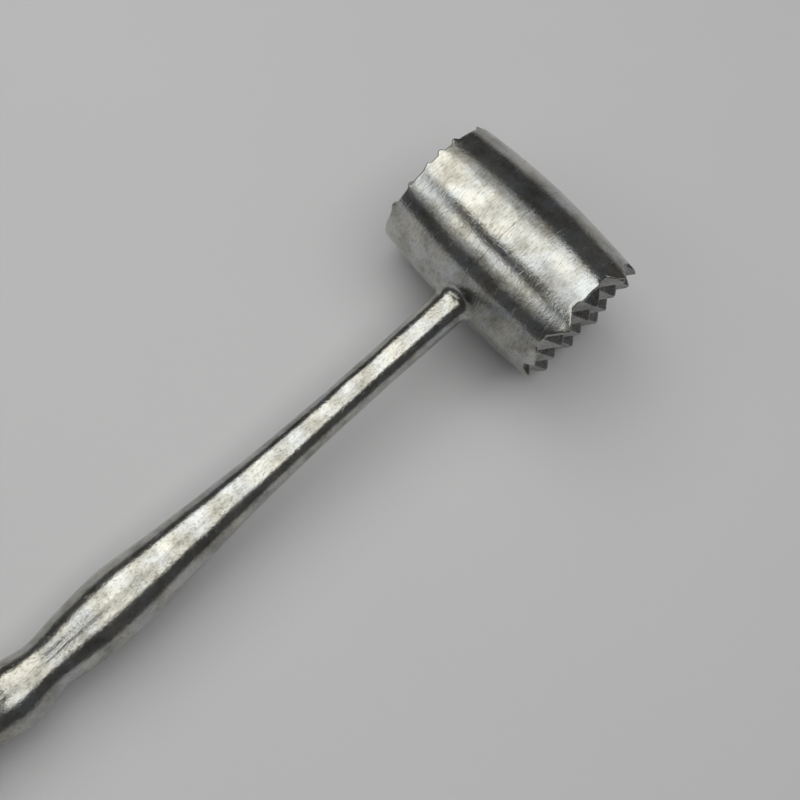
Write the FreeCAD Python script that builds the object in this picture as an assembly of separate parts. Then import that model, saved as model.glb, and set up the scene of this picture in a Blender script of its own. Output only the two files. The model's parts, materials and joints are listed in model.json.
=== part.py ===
"""Double-faced meat mallet: two hollow half-barrel castings clamped round a cast handle's tang.

Lengths are in millimetres.  The mallet is drawn in its own tool frame, with the head's centre
at the origin, +X along the handle and +Y towards the tall teeth.  It is then tipped and moved
so that it lies as it rests on a table, on the barrel's belly and the last swell of the grip.
"""
import FreeCAD, Part
import math
import os

os.makedirs("parts", exist_ok=True)
V = FreeCAD.Vector
AXIS_X, AXIS_Y, AXIS_Z = V(1, 0, 0), V(0, 1, 0), V(0, 0, 1)

# barrel
BARREL_RADIUS = 21.4            # at the seam between the halves
RIM_HEIGHT = 26.7               # from the seam to where the crown ends
TALL_RIM_RADIUS = 20.1
LOW_RIM_RADIUS = 19.5
BORDER_WIDTH = 1.0              # of the plain ring round each tooth field
WALL = 3.6
CAP = 4.0                       # thickness of an end under its tooth valleys
CAVITY_CORNER = 3.0

# tooth fields: pyramids on a square grid that lies along the handle, inside a plain border
TALL_TEETH = dict(pitch=10.15, depth=5.0, tip=29.7, border=25.8, shift=(0.4, 5.9), rim=TALL_RIM_RADIUS)
LOW_TEETH = dict(pitch=5.08, depth=2.5, tip=28.4, border=27.1, shift=(1.2, 3.6), rim=LOW_RIM_RADIUS)
TIP_LAND = 0.6                  # width of the flat left on a tooth's tip
VALLEY_LAND = 0.2

# handle
GRIP_OFFSET = 0.9               # of the grip's axis from the seam, towards the tall teeth
FLARE_RADIUS = 3.2
# distance from the head's centre and diameter at each waist and swell
GRIP_STATIONS = [
    (26.0, 10.1), (40.0, 9.8), (55.0, 9.7), (75.0, 10.1), (95.0, 11.6), (118.0, 14.8),
    (138.0, 17.8), (150.0, 16.0), (158.5, 14.1), (167.5, 17.2), (177.5, 14.3),
    (187.5, 17.0), (197.5, 14.4), (209.0, 16.8),
]
HANDLE_END = 219.0
END_POLE_PULL = 0.62            # how full the rounded end is
HANG_HOLE_AT = 210.0
HANG_HOLE_RADIUS = 3.0
HANG_LAND_RADIUS = 5.6          # flat land round each mouth of the hole
HANG_LAND_SPACING = 11.0        # between the two lands

# joint between the handle and the two halves
STEM_RADIUS = 4.0
COLLAR_RADIUS = 6.5
COLLAR_BACK = 13.6
TANG_END = -6.5
TANG_HALF_HEIGHT = 4.0
TANG_HALF_WIDTH = 5.0
PIN_RADIUS = 2.5
PIN_HALF_LENGTH = 14.0
PIN_BOSS_RADIUS = 6.0
DOWEL_RADIUS = 2.0
DOWEL_HALF_LENGTH = 7.0
DOWEL_BOSS_RADIUS = 4.0
DOWEL_CIRCLE = 12.5
DOWEL_ANGLES = (45, 135, 225, 315)


def cylinder(radius, start, end, direction):
    """Solid cylinder from start to end along one of the tool frame's axes."""
    base = direction * min(start, end)
    return Part.makeCylinder(radius, abs(end - start), base, direction)


def revolved(edges, axis):
    """Solid made by turning a closed outline once round an axis through the origin."""
    return Part.Face(Part.Wire(edges)).revolve(V(0, 0, 0), axis, 360)


def segment(start, end):
    return Part.LineSegment(start, end).toShape()


def crowned_barrel(side, rim_radius, top):
    """One half of the barrel as a plain solid, crowned from the seam to the rim."""
    sag = BARREL_RADIUS - rim_radius
    seam = V(BARREL_RADIUS, 0, 0)
    middle = V(BARREL_RADIUS - sag / 4, side * RIM_HEIGHT / 2, 0)
    rim = V(rim_radius, side * RIM_HEIGHT, 0)
    edge = V(rim_radius, side * top, 0)
    pole = V(0, side * top, 0)
    outline = [segment(V(0, 0, 0), seam), Part.Arc(seam, middle, rim).toShape(),
               segment(rim, edge), segment(edge, pole), segment(pole, V(0, 0, 0))]
    return revolved(outline, AXIS_Y)


def comb(side, teeth, across, along, shift):
    """Ridged block whose ridges stand side by side in one direction and run along the other."""
    reach = 6 * teeth["pitch"]
    tip, valley = teeth["tip"], teeth["tip"] - teeth["depth"]
    points = [(-reach + shift - teeth["pitch"] / 2, 0)]
    count = round(2 * reach / teeth["pitch"]) + 1
    for index in range(count):
        centre = -reach + shift + index * teeth["pitch"]
        half = teeth["pitch"] / 2
        points += [(centre - half, valley), (centre - half + VALLEY_LAND / 2, valley),
                   (centre - TIP_LAND / 2, tip), (centre + TIP_LAND / 2, tip),
                   (centre + half - VALLEY_LAND / 2, valley)]
    points += [(centre + half, valley), (centre + half, 0)]
    start = along * -(reach + teeth["pitch"])
    corners = [across * u + AXIS_Y * (side * y) + start for u, y in points]
    outline = Part.makePolygon(corners + [corners[0]])
    return Part.Face(outline).extrude(along * 2 * (reach + teeth["pitch"]))


def toothed_half(side, teeth):
    """The outer form of one half: crowned side and a bordered field of pyramids on its end."""
    field = comb(side, teeth, AXIS_X, AXIS_Z, teeth["shift"][0])
    field = field.common(comb(side, teeth, AXIS_Z, AXIS_X, teeth["shift"][1]))
    border = cylinder(BARREL_RADIUS, side * RIM_HEIGHT / 2, side * teeth["border"], AXIS_Y)
    border = border.cut(cylinder(teeth["rim"] - BORDER_WIDTH, 0, side * teeth["tip"], AXIS_Y))
    return crowned_barrel(side, teeth["rim"], teeth["tip"] + 1).common(field.fuse(border))


def cavity_half(side, teeth):
    """The hollow inside one half, with a rounded corner at its end."""
    floor = teeth["tip"] - teeth["depth"] - CAP
    mouth, end = BARREL_RADIUS - WALL, teeth["rim"] - WALL
    outline = [(0, 0), (mouth, 0), (end, side * (floor - CAVITY_CORNER)),
               (end - CAVITY_CORNER, side * floor), (0, side * floor)]
    corners = [V(x, y, 0) for x, y in outline]
    edges = [segment(a, b) for a, b in zip(corners, corners[1:] + corners[:1])]
    return revolved(edges, AXIS_Y)


def dowel_centres():
    """Centres of the four dowels in the seam plane."""
    for angle in DOWEL_ANGLES:
        turn = math.radians(angle)
        yield V(DOWEL_CIRCLE * math.cos(turn), 0, DOWEL_CIRCLE * math.sin(turn))


def half_shell(side, teeth):
    """A hollow half casting: toothed end, side wall, pin boss and four dowel bosses."""
    cavity = cavity_half(side, teeth)
    floor = teeth["tip"] - teeth["depth"] - CAP
    bosses = cylinder(PIN_BOSS_RADIUS, side * TANG_HALF_WIDTH, side * floor, AXIS_Y)
    for centre in dowel_centres():
        boss = cylinder(DOWEL_BOSS_RADIUS, 0, side * floor, AXIS_Y)
        boss.translate(centre)
        bosses = bosses.fuse(boss)
    shell = toothed_half(side, teeth).cut(cavity.cut(bosses))
    shell = shell.cut(cylinder(STEM_RADIUS, 0, BARREL_RADIUS + 1, AXIS_X).cut(cavity))
    shell = shell.cut(cylinder(PIN_RADIUS, 0, side * PIN_HALF_LENGTH, AXIS_Y))
    for centre in dowel_centres():
        hole = cylinder(DOWEL_RADIUS, 0, side * DOWEL_HALF_LENGTH, AXIS_Y)
        hole.translate(centre)
        shell = shell.cut(hole)
    return shell.removeSplitter()


def grip():
    """Turned outside of the handle: flared neck, long taper, waved grip and rounded end."""
    neck_at, neck_width = GRIP_STATIONS[0]
    last_at, last_width = GRIP_STATIONS[-1]
    neck_radius, last_radius = neck_width / 2, last_width / 2
    flare_at = neck_at - FLARE_RADIUS
    flare_middle = V(neck_at - FLARE_RADIUS * math.sin(math.pi / 4),
                     neck_radius + FLARE_RADIUS * (1 - math.cos(math.pi / 4)), 0)
    flare_lip = V(flare_at, neck_radius + FLARE_RADIUS, 0)
    inner_lip = V(BARREL_RADIUS / 2, neck_radius + FLARE_RADIUS, 0)
    inner_axis = V(BARREL_RADIUS / 2, 0, 0)
    waves = Part.BSplineCurve()
    waves.interpolate([V(at, width / 2, 0) for at, width in GRIP_STATIONS],
                      InitialTangent=V(1, 0, 0), FinalTangent=V(1, 0, 0))
    reach = HANDLE_END - last_at
    end = Part.BezierCurve()
    end.setPoles([V(last_at, last_radius, 0), V(last_at + END_POLE_PULL * reach, last_radius, 0),
                  V(HANDLE_END, END_POLE_PULL * last_radius, 0), V(HANDLE_END, 0, 0)])
    neck = V(neck_at, neck_radius, 0)
    outline = [segment(inner_axis, inner_lip), segment(inner_lip, flare_lip),
               Part.Arc(flare_lip, flare_middle, neck).toShape(), waves.toShape(),
               end.toShape(), segment(V(HANDLE_END, 0, 0), inner_axis)]
    return revolved(outline, AXIS_X)


def handle(barrel, cavity):
    """Handle casting: grip seated on the barrel, stem through the wall, collar and tang."""
    body = grip()
    body.translate(AXIS_Y * GRIP_OFFSET)
    body = body.cut(barrel)
    stem = cylinder(STEM_RADIUS, COLLAR_BACK, BARREL_RADIUS + FLARE_RADIUS, AXIS_X)
    collar = cylinder(COLLAR_RADIUS, COLLAR_BACK, BARREL_RADIUS, AXIS_X).common(cavity)
    tang = Part.makeBox(COLLAR_BACK - TANG_END, 2 * TANG_HALF_WIDTH, 2 * TANG_HALF_HEIGHT,
                        V(TANG_END, -TANG_HALF_WIDTH, -TANG_HALF_HEIGHT))
    body = body.fuse([stem, collar, tang])
    body = body.cut(cylinder(PIN_RADIUS, -PIN_HALF_LENGTH, PIN_HALF_LENGTH, AXIS_Y))
    widest = GRIP_STATIONS[-1][1]
    cuts = [cylinder(HANG_HOLE_RADIUS, -widest, widest, AXIS_Y)]
    for side in (-1, 1):
        cuts.append(cylinder(HANG_LAND_RADIUS, side * HANG_LAND_SPACING / 2, side * widest, AXIS_Y))
    for tool in cuts:
        tool.translate(V(HANG_HOLE_AT, GRIP_OFFSET, 0))
        body = body.cut(tool)
    return body.removeSplitter()


def dowels():
    pins = []
    for centre in dowel_centres():
        pin = cylinder(DOWEL_RADIUS, -DOWEL_HALF_LENGTH, DOWEL_HALF_LENGTH, AXIS_Y)
        pin.translate(centre)
        pins.append(pin)
    return Part.makeCompound(pins)


def one_solid(shape):
    """The shape as its single solid, which each casting has to be."""
    if len(shape.Solids) != 1:
        raise ValueError("casting is in %d pieces" % len(shape.Solids))
    return shape.Solids[0]


def resting(nodes):
    """Tip the mallet onto its belly and its last swell, then centre it over the origin."""
    swell_at, swell_width = GRIP_STATIONS[-1]
    tip_angle = math.degrees(math.asin((BARREL_RADIUS - swell_width / 2) / swell_at))
    for shape in nodes.values():
        shape.rotate(V(0, 0, 0), AXIS_Y, tip_angle)
    box = Part.makeCompound(list(nodes.values())).optimalBoundingBox(False, False)
    for shape in nodes.values():
        shape.translate(V(-box.Center.x, -box.Center.y, -box.ZMin))


def build():
    barrel = crowned_barrel(1, TALL_RIM_RADIUS, TALL_TEETH["tip"])
    barrel = barrel.fuse(crowned_barrel(-1, LOW_RIM_RADIUS, LOW_TEETH["tip"]))
    cavity = cavity_half(1, TALL_TEETH).fuse(cavity_half(-1, LOW_TEETH))
    nodes = {
        "tall_tooth_half_shell": one_solid(half_shell(1, TALL_TEETH)),
        "low_tooth_half_shell": one_solid(half_shell(-1, LOW_TEETH)),
        "handle": one_solid(handle(barrel, cavity)),
        "tang_pin": cylinder(PIN_RADIUS, -PIN_HALF_LENGTH, PIN_HALF_LENGTH, AXIS_Y),
        "dowel_pins": dowels(),
    }
    resting(nodes)
    for name, shape in nodes.items():
        shape.exportStep("parts/%s.step" % name)
        box = shape.BoundBox
        print("%-22s %8.1f mm3  %.1f x %.1f x %.1f" %
              (name, shape.Volume, box.XLength, box.YLength, box.ZLength))


build()
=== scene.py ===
"""Meat mallet: a crowned barrel head of two toothed half castings on a waved, cast handle.

Meshes are drawn in the tool frame, in metres: origin at the head's centre, +X along the handle,
+Y towards the tall teeth.  place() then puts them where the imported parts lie.
"""
import json
import math

import bmesh
import bpy
import numpy as np
from mathutils import Matrix, Vector, noise


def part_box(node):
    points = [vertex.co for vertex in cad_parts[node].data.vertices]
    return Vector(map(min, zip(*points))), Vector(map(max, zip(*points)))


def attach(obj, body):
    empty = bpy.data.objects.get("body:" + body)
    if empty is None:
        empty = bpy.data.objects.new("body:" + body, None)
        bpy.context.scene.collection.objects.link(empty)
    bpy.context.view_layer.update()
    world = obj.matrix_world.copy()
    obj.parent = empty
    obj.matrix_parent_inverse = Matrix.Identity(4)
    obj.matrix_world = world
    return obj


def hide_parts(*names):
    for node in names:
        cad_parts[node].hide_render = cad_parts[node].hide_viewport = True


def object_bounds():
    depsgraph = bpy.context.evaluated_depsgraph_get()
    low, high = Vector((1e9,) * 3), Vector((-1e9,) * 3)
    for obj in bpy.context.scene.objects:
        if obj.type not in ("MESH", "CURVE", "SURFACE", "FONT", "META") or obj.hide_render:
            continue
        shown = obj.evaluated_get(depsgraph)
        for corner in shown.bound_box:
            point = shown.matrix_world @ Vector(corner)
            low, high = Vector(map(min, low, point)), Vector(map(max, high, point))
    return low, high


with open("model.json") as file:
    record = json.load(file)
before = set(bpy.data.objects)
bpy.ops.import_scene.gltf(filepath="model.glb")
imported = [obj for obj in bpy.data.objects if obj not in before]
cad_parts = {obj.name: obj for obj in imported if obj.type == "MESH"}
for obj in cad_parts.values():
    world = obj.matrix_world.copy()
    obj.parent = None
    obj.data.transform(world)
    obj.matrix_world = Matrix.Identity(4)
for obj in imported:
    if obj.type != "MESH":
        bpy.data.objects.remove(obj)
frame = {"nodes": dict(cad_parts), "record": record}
cad_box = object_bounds()

MM = 0.001
WELD_DISTANCE = 1e-7            # points closer than this become one

# ---------------------------------------------------------------- the frame's own sizes
tall_low, tall_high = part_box("tall_tooth_half_shell")
low_low, low_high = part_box("low_tooth_half_shell")
hang_hole = next(m for m in frame["record"]["mounts"] if m["name"] == "hang_hole")

BARREL_RADIUS = (tall_high.z - tall_low.z) / 2
SEAM_Y = tall_low.y
HEAD_CENTRE = Vector(((tall_low.x + tall_high.x) / 2, SEAM_Y, (tall_low.z + tall_high.z) / 2))
GRIP_OFFSET = hang_hole["pos_m"][1] - SEAM_Y        # of the grip's axis from the seam
GRIP_CENTRE = HEAD_CENTRE + Vector((0, GRIP_OFFSET, 0))
HANDLE_LINE = (Vector(hang_hole["pos_m"]) - GRIP_CENTRE).normalized()
HOLE_AT = (Vector(hang_hole["pos_m"]) - GRIP_CENTRE).length
HOLE_RADIUS = hang_hole["dims"]["r_mm"] * MM
LAND_SPACING = hang_hole["dims"]["length_mm"] * MM
TALL_TIP = tall_high.y - SEAM_Y
LOW_TIP = SEAM_Y - low_low.y
TABLE_Z = cad_box[0][2]

# ---------------------------------------------------------------- head
RIM_HEIGHT = 26.7 * MM
SEAM_CHAMFER = 0.05 * MM
SEAM_CREASE = 0.006             # slope of each half's side where it meets the seam
WALL = 3.6 * MM
CAP = 4.0 * MM
CAVITY_CORNER = 3.0 * MM
RIM_SOFTENING = 0.45 * MM       # worn edge between the toothed end and the side
SHOULDER_DROP = 1.2 * MM        # from the valleys to where the side's rings run level
SIDE_RINGS = 36
WAVINESS = 0.07 * MM            # how far hand polishing has left the side uneven
WAVINESS_FADE = 2 * MM          # over which the waviness dies out towards the rim
BROAD_WAVES = dict(turns=2.6, length=13 * MM)
FINE_WAVES = dict(turns=7, length=5 * MM)
TIP_WEAR = 0.02 * MM            # taken off every tooth
SIDE_SKIN, FACET_SKIN = 0, 1    # material slots of a half

TALL_TEETH = dict(pitch=10.15 * MM, depth=5.0 * MM, tip=TALL_TIP, border=25.8 * MM,
                  shift=(0.4 * MM, 5.9 * MM), rim=20.1 * MM, land=0.04)
LOW_TEETH = dict(pitch=5.08 * MM, depth=2.5 * MM, tip=LOW_TIP, border=27.1 * MM,
                 shift=(1.2 * MM, 3.6 * MM), rim=19.5 * MM, land=0.12)
BORDER_WIDTH = 1.0 * MM         # of the plain ring round each tooth field
TOOTH_ROUNDING = 0.06 * MM      # of tips, valleys and the border's edge
GRID_STEP = 0.3 * MM            # spacing of the points over a tooth field
HIP_SHARPNESS = 18              # power that rounds the edges between a tooth's facets
TOOTH_UNEVENNESS = 0.05         # share by which tips differ in height
TOOTH_NOISE_STEPS = (1.7, 1.3)  # from one tooth to the next

# ---------------------------------------------------------------- handle
FLARE_RADIUS = 3.2 * MM
# distance from the head's centre and diameter at each waist and swell
GRIP_STATIONS = np.array([
    (26.0, 10.1), (40.0, 9.8), (55.0, 9.7), (75.0, 10.1), (95.0, 11.6), (118.0, 14.8),
    (138.0, 17.8), (150.0, 16.0), (158.5, 14.1), (167.5, 17.2), (177.5, 14.3),
    (187.5, 17.0), (197.5, 14.4), (209.0, 16.8),
]) * MM
HANDLE_END = 219.0 * MM
END_POLE_PULL = 0.62
HANG_LAND_RADIUS = 5.6 * MM
# distance and radius of the stem, collar and tang inside the head
TANG_OUTLINE = np.array([
    (19.0, 4.0), (17.4, 4.0), (16.9, 6.4), (13.8, 6.4), (13.6, 4.6), (-5.6, 4.6), (-6.5, 3.6),
]) * MM
GRIP_RING_SPACING = 0.8 * MM
ROUND = 2                       # section power of a circle
SQUARENESS = 2.12               # section power of the full grip
SQUARENESS_RUN = 60 * MM        # along which the round neck turns into the squarer grip
PARTING_RIDGE = 0.03 * MM
PARTING_RIDGE_REACH = 1.4 * MM
PARTING_BEAD = 0.10 * MM
PARTING_BEAD_REACH = 0.36 * MM  # half the bead's width
BEAD_PATCH = 7 * MM             # length over which the bead grows and shrinks
PARTING_ANGLES = (0.012, 0.025, 0.045, 0.08, 0.13, 0.19)    # of the extra points beside the line
PARTING_CLEAR = 0.24            # angle beside the line that the even points leave free
GRIP_POINTS = 80                # even points round the handle
DENTS = 0.09 * MM
DENT_LENGTH = 9 * MM
DENT_TURNS = 1.4
FLARE_SINK = 0.06 * MM          # how far the flare's lip reaches under the barrel's skin
FLARE_RINGS = 10
NECK_GAP = 0.8 * MM             # from the end of the flare to the grip's first ring
END_RINGS = 16
HOLE_POINTS = 96                # round the hanging hole
HOLE_MOUTH = 0.5 * MM           # radius of the hole's rounded mouths
LAND_CORNER = 0.3 * MM
CUTTER_HALF_LENGTH = 12 * MM

# ---------------------------------------------------------------- placing
TOOL_FRAME = Matrix((HANDLE_LINE, Vector((0, 1, 0)), HANDLE_LINE.cross(Vector((0, 1, 0))))).transposed()


def place(points):
    """Tool-frame points as an array in the row frame."""
    turn = np.array(TOOL_FRAME)
    return np.asarray(points, float) @ turn.T + np.array(HEAD_CENTRE)


def piece_from(name, points, faces, face_slots=None):
    """A mesh object with its points in the row frame and its normals facing outwards."""
    mesh = bpy.data.meshes.new(name)
    mesh.from_pydata(place(points).tolist(), [], faces)
    if face_slots is not None:
        mesh.polygons.foreach_set("material_index", face_slots)
    form = bmesh.new()
    form.from_mesh(mesh)
    bmesh.ops.remove_doubles(form, verts=form.verts, dist=WELD_DISTANCE)
    bmesh.ops.recalc_face_normals(form, faces=form.faces)
    for face in form.faces:
        face.smooth = True
    form.to_mesh(mesh)
    form.free()
    piece = bpy.data.objects.new(name, mesh)
    bpy.context.scene.collection.objects.link(piece)
    return piece


def ring_faces(first, second, count):
    """Quads between two closed rings of points, given where each ring starts."""
    return [(first + i, first + (i + 1) % count, second + (i + 1) % count, second + i)
            for i in range(count)]


# ---------------------------------------------------------------- toothed half barrels
def crown(height, rim):
    """Outside radius of the barrel at a height above the seam."""
    share = np.clip(height / RIM_HEIGHT, 0, 1)
    sag = BARREL_RADIUS - rim
    crease = SEAM_CREASE * RIM_HEIGHT
    return BARREL_RADIUS - crease * share - (sag - crease) * share ** 2


def soft_floor(value, floor, width):
    """The larger of two heights, joined by a small round."""
    return floor + width * np.logaddexp(0, (value - floor) / width)


def off_tip(at, shift, pitch):
    """Which tooth a place belongs to along one direction, and its place from the tip in pitches."""
    turns = (at - shift) / pitch
    return round(turns), turns - round(turns)


def tooth_height(u, v, teeth):
    """Height of the tooth field and the plain border round it above the valleys."""
    pitch, depth = teeth["pitch"], teeth["depth"]
    across, du = off_tip(u, teeth["shift"][0], pitch)
    along, dv = off_tip(v, teeth["shift"][1], pitch)
    reach = (abs(du) ** HIP_SHARPNESS + abs(dv) ** HIP_SHARPNESS) ** (1 / HIP_SHARPNESS)
    step_u, step_v = TOOTH_NOISE_STEPS
    wear = 1 + TOOTH_UNEVENNESS * noise.noise(Vector((across * step_u, along * step_v, depth / MM)))
    slope = depth * (1 - 2 * min(reach, 0.5))
    top = depth * (1 - teeth["land"]) * wear - TIP_WEAR
    height = soft_floor(top - soft_floor(top - slope, 0, TOOTH_ROUNDING), 0, TOOTH_ROUNDING)
    inward = max(0.0, teeth["rim"] - BORDER_WIDTH - math.hypot(u, v))
    border = teeth["border"] - (teeth["tip"] - depth) - inward
    return soft_floor(height, border, TOOTH_ROUNDING)


def field_lines(teeth, shift):
    """Places of the grid lines over a tooth field, with one on every tip and valley."""
    half = teeth["pitch"] / 2
    step = half / round(half / GRID_STEP)
    count = math.ceil((teeth["rim"] + abs(shift)) / step) + 1
    lines = [shift + index * step for index in range(-count, count + 1)]
    return [x for x in lines if abs(x) < teeth["rim"] + 2 * step]


def tooth_field(teeth):
    """Points, faces and the ordered rim of a field of teeth clipped to a round edge."""
    edge = teeth["rim"] - RIM_SOFTENING
    valley = teeth["tip"] - teeth["depth"]
    us, vs = (field_lines(teeth, shift) for shift in teeth["shift"])
    points, faces, known = [], [], {}

    def point(key, u, v):
        if key not in known:
            known[key] = len(points)
            points.append((u, valley + tooth_height(u, v, teeth), v))
        return known[key]

    def crossing(a, b):
        """The point where the edge between two grid corners meets the round edge."""
        (iu, iv), (ju, jv) = sorted((a, b))
        u, v = us[iu], vs[iv]
        if iu == ju:
            v = math.copysign(math.sqrt(edge ** 2 - u ** 2), v + vs[jv])
        else:
            u = math.copysign(math.sqrt(edge ** 2 - v ** 2), u + us[ju])
        return point(("rim", iu, iv, ju, jv), u, v)

    inside = [[math.hypot(u, v) < edge for v in vs] for u in us]
    for iu in range(len(us) - 1):
        for iv in range(len(vs) - 1):
            corners = [(iu, iv), (iu + 1, iv), (iu + 1, iv + 1), (iu, iv + 1)]
            if not any(inside[a][b] for a, b in corners):
                continue
            outline = []
            for here, after in zip(corners, corners[1:] + corners[:1]):
                if inside[here[0]][here[1]]:
                    outline.append(point(here, us[here[0]], vs[here[1]]))
                if inside[here[0]][here[1]] != inside[after[0]][after[1]]:
                    outline.append(crossing(here, after))
            if len(outline) < 4:
                faces.append(tuple(outline))
                continue
            _, from_u = off_tip((us[iu] + us[iu + 1]) / 2, teeth["shift"][0], teeth["pitch"])
            _, from_v = off_tip((vs[iv] + vs[iv + 1]) / 2, teeth["shift"][1], teeth["pitch"])
            same_way = from_u * from_v > 0
            if len(outline) > 4 or not same_way:
                outline = outline[1:] + outline[:1]
            faces += [(outline[0], outline[k], outline[k + 1]) for k in range(1, len(outline) - 1)]
    rim = [index for key, index in known.items() if key[0] == "rim"]
    rim.sort(key=lambda i: math.atan2(points[i][2], points[i][0]))
    return points, faces, rim


def side_waves(angle, height, turns, length):
    """Noise over the barrel's side, finer with more turns and a shorter length."""
    return noise.noise(Vector((turns * math.cos(angle), height / length, turns * math.sin(angle))))


def side_waviness(angle, height):
    """How far the polished side lies under its true crown."""
    broad = side_waves(angle, height, **BROAD_WAVES)
    return WAVINESS * (0.5 + 0.4 * broad + 0.12 * side_waves(angle, height, **FINE_WAVES))


def half_barrel(name, side, teeth):
    """One half casting: toothed end, worn rim, crowned side, seam face and hollow inside."""
    points, faces, rim = tooth_field(teeth)
    slots = [FACET_SKIN] * len(faces)
    angles = [math.atan2(points[i][2], points[i][0]) for i in rim]
    tops = [points[i][1] for i in rim]
    count = len(rim)
    valley = teeth["tip"] - teeth["depth"]
    shoulder = valley - SHOULDER_DROP

    def ring(radii, heights):
        start = len(points)
        for angle, radius, height in zip(angles, radii, heights):
            points.append((radius * math.cos(angle), height, radius * math.sin(angle)))
        return start

    def side_ring(heights, inset=0.0):
        fades = [min(1.0, max(0.0, (valley - h) / WAVINESS_FADE)) for h in heights]
        radii = [crown(h, teeth["rim"]) - inset - side_waviness(a, h) * fade
                 for a, h, fade in zip(angles, heights, fades)]
        return ring(radii, heights)

    def join(first, second, slot):
        new = ring_faces(first, second, count)
        faces.extend(new)
        slots.extend([slot] * len(new))

    starts = []
    for turn in (0.25, 0.5, 0.75, 1.0):
        drop = RIM_SOFTENING * (1 - math.cos(turn * math.pi / 2))
        radius = teeth["rim"] - RIM_SOFTENING * (1 - math.sin(turn * math.pi / 2))
        starts.append(ring([radius] * count, [t - drop for t in tops]))
    for share in (0.25, 0.5, 0.75):
        heights = [(t - RIM_SOFTENING) * (1 - share) + shoulder * share for t in tops]
        starts.append(side_ring(heights))
    for height in np.linspace(shoulder, 2 * SEAM_CHAMFER, SIDE_RINGS):
        starts.append(side_ring([height] * count))
    starts.append(side_ring([SEAM_CHAMFER] * count))
    starts.append(side_ring([0.0] * count, SEAM_CHAMFER))
    floor = valley - CAP
    mouth, end = BARREL_RADIUS - WALL, teeth["rim"] - WALL
    for radius, height in ((mouth, 0), (end, floor - CAVITY_CORNER), (end - CAVITY_CORNER, floor)):
        starts.append(ring([radius] * count, [height] * count))
    rim_start = len(points)
    points.extend([points[i] for i in rim])
    join(rim_start, starts[0], FACET_SKIN)
    for first, second in zip(starts, starts[1:]):
        join(first, second, SIDE_SKIN)
    centre = len(points)
    points.append((0, floor, 0))
    last = starts[-1]
    faces.extend([(last + i, last + (i + 1) % count, centre) for i in range(count)])
    slots.extend([SIDE_SKIN] * count)
    points = np.array(points) * np.array((1, side, 1))
    return piece_from(name, points, faces, slots)


# ---------------------------------------------------------------- handle
def grip_radius(at):
    """Radius of the grip at a distance from the head's centre, eased through its stations."""
    places, radii = GRIP_STATIONS[:, 0], GRIP_STATIONS[:, 1] / 2
    slopes = np.gradient(radii, places)
    slopes[0] = slopes[-1] = 0
    i = int(np.clip(np.searchsorted(places, at) - 1, 0, len(places) - 2))
    span = places[i + 1] - places[i]
    t = (at - places[i]) / span
    return ((2 * t ** 3 - 3 * t ** 2 + 1) * radii[i] + (t ** 3 - 2 * t ** 2 + t) * span * slopes[i]
            + (3 * t ** 2 - 2 * t ** 3) * radii[i + 1] + (t ** 3 - t ** 2) * span * slopes[i + 1])


def grip_angles():
    """Angles round the handle, from its side, closer together at the parting line."""
    angles = []
    for top in (math.pi / 2, -math.pi / 2):
        angles.append(top)
        for step in PARTING_ANGLES:
            angles += [top - step, top + step]
    around = np.linspace(-math.pi, math.pi, GRIP_POINTS + 1)[:-1]
    angles += [a for a in around if abs(abs(a) - math.pi / 2) > PARTING_CLEAR]
    return sorted(angles)


def section_radius(angle, radius, squareness, at):
    """Radius of the slightly square section, with its parting ridge, bead and dents."""
    side, up = abs(math.cos(angle)), abs(math.sin(angle))
    shape = radius / (side ** squareness + up ** squareness) ** (1 / squareness)
    from_parting = side * radius
    ridge = PARTING_RIDGE * max(0.0, 1 - from_parting / PARTING_RIDGE_REACH)
    uneven = 0.85 + 0.35 * noise.noise(Vector((at / BEAD_PATCH, up, 3.0)))
    bead = PARTING_BEAD * uneven * max(0.0, 1 - from_parting / PARTING_BEAD_REACH)
    spot = Vector((at / DENT_LENGTH, DENT_TURNS * math.cos(angle), DENT_TURNS * math.sin(angle)))
    return shape + ridge + bead + DENTS * noise.noise(spot)


def barrel_surface(y, z):
    """How far along +X the barrel's side is at a place beside the grip's axis."""
    from_seam = y + GRIP_OFFSET
    rim = TALL_TEETH["rim"] if from_seam > 0 else LOW_TEETH["rim"]
    return math.sqrt(crown(abs(from_seam), rim) ** 2 - z ** 2)


def flare_ring(angles, share):
    """Points of the flare between the barrel (share 0) and the neck (share 1)."""
    neck = grip_radius(GRIP_STATIONS[0, 0])
    ring = []
    for angle in angles:
        side, up = math.cos(angle), math.sin(angle)
        lip, root = neck + FLARE_RADIUS, neck
        start = Vector((barrel_surface(lip * side, lip * up) - FLARE_SINK, lip * side, lip * up))
        bend = Vector((barrel_surface(root * side, root * up), root * side, root * up))
        end = bend + Vector((FLARE_RADIUS, 0, 0))
        spot = start * (1 - share) ** 2 + bend * 2 * share * (1 - share) + end * share ** 2
        ring.append(tuple(spot))
    return ring


def end_cap_stations():
    """Distance and radius of the rings that close the handle's rounded end."""
    last_at, last_radius = GRIP_STATIONS[-1, 0], GRIP_STATIONS[-1, 1] / 2
    reach = HANDLE_END - last_at
    for share in np.linspace(0, 1, END_RINGS + 2)[1:-1]:
        rest = 1 - share
        at = last_at + reach * (3 * rest ** 2 * share * END_POLE_PULL
                                + 3 * rest * share ** 2 + share ** 3)
        radius = last_radius * (rest ** 3 + 3 * rest ** 2 * share
                                + 3 * rest * share ** 2 * END_POLE_PULL)
        yield at, radius


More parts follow.
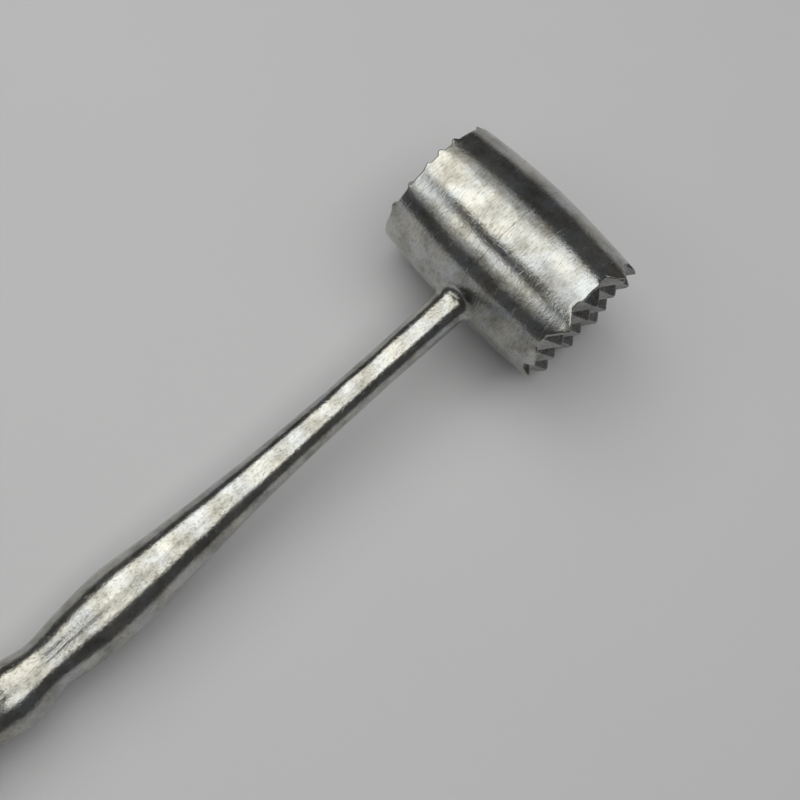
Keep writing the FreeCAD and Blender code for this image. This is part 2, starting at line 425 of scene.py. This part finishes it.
def handle_casting(name):
    """The handle: tang inside the head, flare on the barrel, neck, waved grip and round end."""
    angles = grip_angles()
    count = len(angles)
    rings = []
    for at, radius in reversed(TANG_OUTLINE):
        rings.append([(at, radius * math.cos(a), radius * math.sin(a)) for a in angles])
    for share in np.linspace(0, 1, FLARE_RINGS):
        rings.append(flare_ring(angles, share))
    first, last = GRIP_STATIONS[0, 0] + NECK_GAP, GRIP_STATIONS[-1, 0]
    stations = [(at, grip_radius(at))
                for at in np.arange(first, last, GRIP_RING_SPACING)] + [(last, grip_radius(last))]
    for at, radius in stations + list(end_cap_stations()):
        squareness = ROUND + (SQUARENESS - ROUND) * min(1.0, (at - first) / SQUARENESS_RUN)
        radii = [section_radius(a, radius, squareness, at) for a in angles]
        rings.append([(at, r * math.cos(a), r * math.sin(a)) for a, r in zip(angles, radii)])
    points = [(x, y + GRIP_OFFSET * (index >= len(TANG_OUTLINE)), z)
              for index, ring in enumerate(rings) for x, y, z in ring]
    faces = []
    for index in range(len(rings) - 1):
        faces += ring_faces(index * count, (index + 1) * count, count)
    tip, tail = len(points), len(points) + 1
    points += [(TANG_OUTLINE[-1, 0], 0, 0), (HANDLE_END, GRIP_OFFSET, 0)]
    last_ring = (len(rings) - 1) * count
    faces += [(i, (i + 1) % count, tip) for i in range(count)]
    faces += [(last_ring + i, last_ring + (i + 1) % count, tail) for i in range(count)]
    return piece_from(name, points, faces)


def hang_hole_cutter():
    """A turned cutter: the hole, its rounded mouths and the flat land round each mouth."""
    half = LAND_SPACING / 2
    outline = [(HOLE_RADIUS, 0.0)]
    for turn in np.linspace(0, math.pi / 2, 5):
        outline.append((HOLE_RADIUS + HOLE_MOUTH * (1 - math.cos(turn)),
                        half - HOLE_MOUTH * (1 - math.sin(turn))))
    outline += [(HANG_LAND_RADIUS - LAND_CORNER, half), (HANG_LAND_RADIUS, half + LAND_CORNER),
                (HANG_LAND_RADIUS, CUTTER_HALF_LENGTH)]
    outline = [(r, -h) for r, h in reversed(outline)] + outline[1:]
    angles = np.linspace(0, 2 * math.pi, HOLE_POINTS + 1)[:-1]
    points = [(HOLE_AT + r * math.cos(a), GRIP_OFFSET + h, r * math.sin(a))
              for r, h in outline for a in angles]
    faces = []
    for index in range(len(outline) - 1):
        faces += ring_faces(index * HOLE_POINTS, (index + 1) * HOLE_POINTS, HOLE_POINTS)
    last = (len(outline) - 1) * HOLE_POINTS
    faces += [tuple(range(HOLE_POINTS)), tuple(last + i for i in range(HOLE_POINTS))]
    return piece_from("hang_hole_cutter", points, faces)


def cut_away(piece, cutter):
    """Take the cutter's form out of the piece for good."""
    cut = piece.modifiers.new("hole", "BOOLEAN")
    cut.operation = "DIFFERENCE"
    cut.solver = "EXACT"
    cut.object = cutter
    seen = piece.evaluated_get(bpy.context.evaluated_depsgraph_get())
    mesh = bpy.data.meshes.new_from_object(seen)
    piece.modifiers.remove(cut)
    piece.data = mesh
    bpy.data.objects.remove(cutter)
    for face in mesh.polygons:
        face.use_smooth = True


def even_shading(piece, crease_degrees):
    """Keep crisp edges crisp and let large faces set the shading round worn edges."""
    piece.data.set_sharp_from_angle(angle=math.radians(crease_degrees))
    weighted = piece.modifiers.new("even_shading", "WEIGHTED_NORMAL")
    weighted.keep_sharp = True


# ---------------------------------------------------------------- shader helpers
MIX_FIRST, MIX_SECOND, MIX_RESULT = 6, 7, 2     # a Mix node's colour sockets


def node_group(name, inputs, outputs):
    """An empty shader group with named sockets, and its input and output nodes."""
    group = bpy.data.node_groups.new(name, "ShaderNodeTree")
    for label, kind in inputs:
        group.interface.new_socket(name=label, in_out="INPUT", socket_type=kind)
    for label, kind in outputs:
        group.interface.new_socket(name=label, in_out="OUTPUT", socket_type=kind)
    return group, group.nodes.new("NodeGroupInput"), group.nodes.new("NodeGroupOutput")


def add_node(tree, kind, settings=None, **inputs):
    """A shader node with its settings and its inputs set or linked by name."""
    node = tree.nodes.new(kind)
    for key, value in (settings or {}).items():
        setattr(node, key, value)
    for key, value in inputs.items():
        socket = node.inputs[int(key[1:])] if key[0] == "i" and key[1:].isdigit() else node.inputs[key]
        if isinstance(value, bpy.types.NodeSocket):
            tree.links.new(value, socket)
        else:
            socket.default_value = value
    return node


def math_of(tree, a, b, operation="ADD"):
    """The sum of two values, or what another Math operation makes of them."""
    return add_node(tree, "ShaderNodeMath", {"operation": operation}, i0=a, i1=b).outputs[0]


def map_range(tree, value, start, end, low, high, steps="LINEAR"):
    """A value's run from start to end laid over low to high, and held there past both ends."""
    return add_node(tree, "ShaderNodeMapRange", {"interpolation_type": steps}, Value=value,
                    i1=start, i2=end, i3=low, i4=high).outputs[0]


def mix_colours(tree, factor, first, second):
    """A colour between two, each given as a colour or as the socket it comes from."""
    ends = {"i%d" % MIX_FIRST: first, "i%d" % MIX_SECOND: second}
    for key, value in ends.items():
        if not isinstance(value, bpy.types.NodeSocket):
            ends[key] = (*value, 1)
    mixed = add_node(tree, "ShaderNodeMix", {"data_type": "RGBA"}, Factor=factor, **ends)
    return mixed.outputs[MIX_RESULT]


def tool_frame_group():
    """Object coordinates as tool-frame millimetres, so that marks follow the head and handle."""
    group, _, leave = node_group("Tool frame", [], [("Place", "NodeSocketVector")])
    coords = group.nodes.new("ShaderNodeTexCoord")
    moved = add_node(group, "ShaderNodeVectorMath", {"operation": "SUBTRACT"},
                     i0=coords.outputs["Object"], i1=tuple(HEAD_CENTRE))
    axes = []
    for column in range(3):
        axis = tuple(TOOL_FRAME.col[column] / MM)
        axes.append(add_node(group, "ShaderNodeVectorMath", {"operation": "DOT_PRODUCT"},
                             i0=moved.outputs[0], i1=axis).outputs["Value"])
    joined = add_node(group, "ShaderNodeCombineXYZ", None, X=axes[0], Y=axes[1], Z=axes[2])
    group.links.new(joined.outputs[0], leave.inputs["Place"])
    return group


def casting_mottle_group():
    """Uneven skin of a tumbled casting: broad clouds, grain and small pits."""
    group, entry, leave = node_group(
        "Casting mottle",
        [("Place", "NodeSocketVector"), ("Grain size", "NodeSocketFloat")],
        [("Clouds", "NodeSocketFloat"), ("Tint", "NodeSocketFloat"), ("Grain", "NodeSocketFloat"),
         ("Pits", "NodeSocketFloat")])
    fine = math_of(group, 1.0, entry.outputs["Grain size"], "DIVIDE")
    clouds = add_node(group, "ShaderNodeTexNoise", None, Vector=entry.outputs["Place"],
                      Scale=0.16, Detail=3.0, Roughness=0.55)
    elsewhere = add_node(group, "ShaderNodeVectorMath", {"operation": "ADD"},
                         i0=entry.outputs["Place"], i1=(80.0, 35.0, -50.0))
    tint = add_node(group, "ShaderNodeTexNoise", None, Vector=elsewhere.outputs[0],
                    Scale=0.11, Detail=2.0, Roughness=0.5)
    grain = add_node(group, "ShaderNodeTexNoise", None, Vector=entry.outputs["Place"],
                     Scale=fine, Detail=4.0, Roughness=0.62)
    cells = add_node(group, "ShaderNodeTexVoronoi", None, Vector=entry.outputs["Place"],
                     Scale=math_of(group, fine, 0.7, "MULTIPLY"))
    pits = map_range(group, cells.outputs["Distance"], 0.02, 0.16, 1.0, 0.0, "SMOOTHSTEP")
    group.links.new(clouds.outputs[0], leave.inputs["Clouds"])
    group.links.new(tint.outputs[0], leave.inputs["Tint"])
    group.links.new(grain.outputs[0], leave.inputs["Grain"])
    group.links.new(pits, leave.inputs["Pits"])
    return group


def polish_lines_group():
    """Fine lines that a belt leaves.  Run picks their direction by how little it scales."""
    group, entry, leave = node_group(
        "Polish lines",
        [("Place", "NodeSocketVector"), ("Run", "NodeSocketVector")],
        [("Lines", "NodeSocketFloat"), ("Scratches", "NodeSocketFloat")])
    run = add_node(group, "ShaderNodeVectorMath", {"operation": "MULTIPLY"},
                   i0=entry.outputs["Place"], i1=entry.outputs["Run"])
    lines = add_node(group, "ShaderNodeTexNoise", None, Vector=run.outputs[0],
                     Scale=1.0, Detail=3.0, Roughness=0.7)
    bent = add_node(group, "ShaderNodeTexNoise", None, Vector=entry.outputs["Place"],
                    Scale=0.08, Detail=1.0)
    slid = add_node(group, "ShaderNodeVectorMath", {"operation": "MULTIPLY_ADD"},
                    i0=bent.outputs["Color"], i1=(0.0, 9.0, 0.0), i2=run.outputs[0])
    rare = add_node(group, "ShaderNodeTexNoise", None, Vector=slid.outputs[0],
                    Scale=0.55, Detail=0.0)
    scratches = map_range(group, rare.outputs[0], 0.70, 0.78, 0.0, 1.0, "SMOOTHSTEP")
    group.links.new(lines.outputs[0], leave.inputs["Lines"])
    group.links.new(scratches, leave.inputs["Scratches"])
    return group


GROUPS = {}


def group_node(tree, name, **inputs):
    """One of the shared shader groups, placed in a material."""
    return add_node(tree, "ShaderNodeGroup", {"node_tree": GROUPS[name]}, **inputs)


def new_metal(name, colour, roughness):
    """A material with a metallic Principled BSDF, and its tree and shader."""
    material = bpy.data.materials.new(name)
    material.use_nodes = True
    tree = material.node_tree
    shader = tree.nodes["Principled BSDF"]
    shader.inputs["Metallic"].default_value = 1.0
    shader.inputs["Base Color"].default_value = (*colour, 1)
    shader.inputs["Roughness"].default_value = roughness
    return material, tree, shader


def cast_aluminium(name, warm, cool, dull, smooth, rough, grain_size, grain_depth, run, line_depth):
    """Bright cast aluminium: clouded colour, grain and belt lines, at this part's own strengths."""
    material, tree, shader = new_metal(name, warm, smooth)
    spot = group_node(tree, "Tool frame")
    mottle = group_node(tree, "Casting mottle", Place=spot.outputs[0])
    mottle.inputs["Grain size"].default_value = grain_size
    lines = group_node(tree, "Polish lines", Place=spot.outputs[0])
    lines.inputs["Run"].default_value = run
    hue = map_range(tree, mottle.outputs["Tint"], 0.38, 0.62, 0.0, 1.0)
    bright = mix_colours(tree, hue, warm, cool)
    patches = map_range(tree, mottle.outputs["Clouds"], 0.4, 0.7, 0.0, 0.8)
    speckle = map_range(tree, lines.outputs["Lines"], 0.5, 0.8, 0.0, 0.9)
    # the pits are also drawn darker in colour: painted shade in the pits, on top of the bump that sinks
    # them; the clouds and belt-line speckle are the metal's own uneven tone
    dark = math_of(tree, patches, math_of(tree, mottle.outputs["Pits"], 0.5, "MULTIPLY"))
    dark = math_of(tree, dark, speckle)
    tree.links.new(mix_colours(tree, dark, bright, dull), shader.inputs["Base Color"])
    gloss = map_range(tree, mottle.outputs["Grain"], 0.3, 0.75, smooth, rough)
    scuffs = math_of(tree, lines.outputs["Scratches"], 0.15, "MULTIPLY")
    tree.links.new(math_of(tree, gloss, scuffs), shader.inputs["Roughness"])
    grain = math_of(tree, mottle.outputs["Grain"], grain_depth, "MULTIPLY")
    ridges = math_of(tree, lines.outputs["Lines"], line_depth, "MULTIPLY")
    pits = math_of(tree, mottle.outputs["Pits"], 0.3 * grain_depth, "MULTIPLY")
    height = math_of(tree, math_of(tree, grain, ridges), pits, "SUBTRACT")
    bump = add_node(tree, "ShaderNodeBump", None, Height=height, Strength=1.0, Distance=MM)
    tree.links.new(bump.outputs[0], shader.inputs["Normal"])
    return material


def ground_steel(name):
    """Ground steel for the pins inside the head."""
    material, tree, shader = new_metal(name, colour=(0.42, 0.42, 0.43), roughness=0.3)
    spot = group_node(tree, "Tool frame")
    lines = group_node(tree, "Polish lines", Place=spot.outputs[0])
    lines.inputs["Run"].default_value = (6.0, 0.4, 6.0)
    gloss = map_range(tree, lines.outputs["Lines"], 0.3, 0.7, 0.22, 0.42)
    tree.links.new(gloss, shader.inputs["Roughness"])
    bump = add_node(tree, "ShaderNodeBump", None, Height=lines.outputs["Lines"],
                    Strength=0.4, Distance=0.02 * MM)
    tree.links.new(bump.outputs[0], shader.inputs["Normal"])
    return material


def table_paint(name):
    """Pale, faintly clouded table top."""
    material = bpy.data.materials.new(name)
    material.use_nodes = True
    tree = material.node_tree
    shader = tree.nodes["Principled BSDF"]
    coords = tree.nodes.new("ShaderNodeTexCoord")
    clouds = add_node(tree, "ShaderNodeTexNoise", None, Vector=coords.outputs["Object"],
                      Scale=9.0, Detail=4.0)
    colour = mix_colours(tree, clouds.outputs[0], (0.585, 0.585, 0.605), (0.610, 0.610, 0.630))
    tree.links.new(colour, shader.inputs["Base Color"])
    shader.inputs["Roughness"].default_value = 0.6
    return material


# ---------------------------------------------------------------- stage
PANEL_HEIGHT = 0.9
PANEL_TINT = (1.0, 1.0, 0.96)
TABLE_SIZE = 6
ROOM_GREY = (0.085, 0.085, 0.087)
CAMERA_AT = Vector((0.15662, 0.05864, 0.31145))     # from the grip's centre in the head
CAMERA_FORWARD = Vector((-0.31711, -0.14585, -0.93713))
CAMERA_UP = Vector((-0.62987, -0.70658, 0.32300))
CAMERA_LENS = 58.5              # mm, on a sensor 36 mm wide
# name, span along X and span along Y from the head's centre, brightness
PANELS = [
    ("overhead_panel", (-0.38, 0.38), (-1.3, -0.05), 1.75),
    ("overhead_panel_edge", (-0.75, -0.38), (-1.3, -0.05), 0.55),
    ("overhead_panel_far", (-0.70, -0.06), (-0.05, 0.55), 1.65),
    ("overhead_panel_far_corner", (-0.06, 0.66), (0.10, 0.55), 1.4),
    ("overhead_panel_dim", (-0.06, 0.30), (-0.05, 0.10), 0.8),
    ("overhead_panel_near_corner", (0.38, 0.76), (-1.0, -0.50), 1.1),
    ("side_panel", (0.76, 1.25), (-1.3, 0.05), 1.2),
    ("side_panel_edge", (1.25, 1.9), (-1.3, 0.05), 0.4),
]


def soft_light(name, across, along, strength):
    """An overhead panel, given its span along X and Y from the head's centre."""
    lamp = bpy.data.lights.new(name, "AREA")
    lamp.shape = "RECTANGLE"
    lamp.size = across[1] - across[0]
    lamp.size_y = along[1] - along[0]
    lamp.energy = strength * lamp.size * lamp.size_y * math.pi
    lamp.color = PANEL_TINT
    panel = bpy.data.objects.new(name, lamp)
    panel.location = (HEAD_CENTRE.x + sum(across) / 2, HEAD_CENTRE.y + sum(along) / 2, PANEL_HEIGHT)
    panel.visible_camera = False
    bpy.context.scene.collection.objects.link(panel)


def set_stage():
    """Table, overhead panels and a dim room."""
    bpy.ops.mesh.primitive_plane_add(size=TABLE_SIZE, location=(0, 0, TABLE_Z))
    table = bpy.context.object
    table.name = "table_top"
    table.data.materials.append(table_paint("pale_table"))
    for panel in PANELS:
        soft_light(*panel)
    world = bpy.data.worlds.new("dim_room")
    world.use_nodes = True
    world.node_tree.nodes["Background"].inputs["Color"].default_value = (*ROOM_GREY, 1)
    bpy.context.scene.world = world


def set_camera():
    """Camera above the grip's side, looking down at the table beside the neck."""
    eye = GRIP_CENTRE + CAMERA_AT
    forward = CAMERA_FORWARD.normalized()
    right = forward.cross(CAMERA_UP).normalized()
    up = right.cross(forward)
    lens = bpy.data.cameras.new("camera")
    lens.lens = CAMERA_LENS
    lens.sensor_width = 36
    camera = bpy.data.objects.new("camera", lens)
    turn = Matrix((right, up, -forward)).transposed().to_4x4()
    camera.matrix_world = Matrix.Translation(eye) @ turn
    bpy.context.scene.collection.objects.link(camera)
    bpy.context.scene.camera = camera


# ---------------------------------------------------------------- build
GROUPS["Tool frame"] = tool_frame_group()
GROUPS["Casting mottle"] = casting_mottle_group()
GROUPS["Polish lines"] = polish_lines_group()

barrel_skin = cast_aluminium(
    "polished_barrel", warm=(0.55, 0.54, 0.49), cool=(0.50, 0.52, 0.53), dull=(0.25, 0.24, 0.205),
    smooth=0.09, rough=0.20, grain_size=0.8, grain_depth=0.034, run=(0.6, 2.4, 0.6), line_depth=0.034)
facet_skin = cast_aluminium(
    "cast_tooth_facets", warm=(0.41, 0.40, 0.38), cool=(0.38, 0.39, 0.40), dull=(0.19, 0.185, 0.17),
    smooth=0.20, rough=0.36, grain_size=0.7, grain_depth=0.014, run=(1.0, 1.0, 1.0), line_depth=0.006)
grip_skin = cast_aluminium(
    "tumbled_handle", warm=(0.55, 0.54, 0.49), cool=(0.50, 0.515, 0.52), dull=(0.23, 0.22, 0.185),
    smooth=0.10, rough=0.22, grain_size=0.8, grain_depth=0.050, run=(1.0, 2.0, 2.0), line_depth=0.030)
pin_skin = ground_steel("ground_pins")

tall_half = half_barrel("tall_tooth_barrel", 1, TALL_TEETH)
low_half = half_barrel("low_tooth_barrel", -1, LOW_TEETH)
for half, node, finish in ((tall_half, "tall_tooth_half_shell", "tall_tooth_casting"),
                           (low_half, "low_tooth_half_shell", "low_tooth_casting")):
    half.data.materials.append(barrel_skin)
    half.data.materials.append(facet_skin)
    even_shading(half, crease_degrees=50)
    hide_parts(node)
    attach(half, "root")

grip = handle_casting("handle_casting")
cut_away(grip, hang_hole_cutter())
grip.data.materials.clear()
grip.data.materials.append(grip_skin)
even_shading(grip, crease_degrees=40)
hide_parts("handle")
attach(grip, "root")

for pin in ("tang_pin", "dowel_pins"):
    for material_slot in frame["nodes"][pin].material_slots:
        material_slot.material = pin_skin

set_stage()
set_camera()
bpy.context.scene.view_settings.view_transform = "Standard"
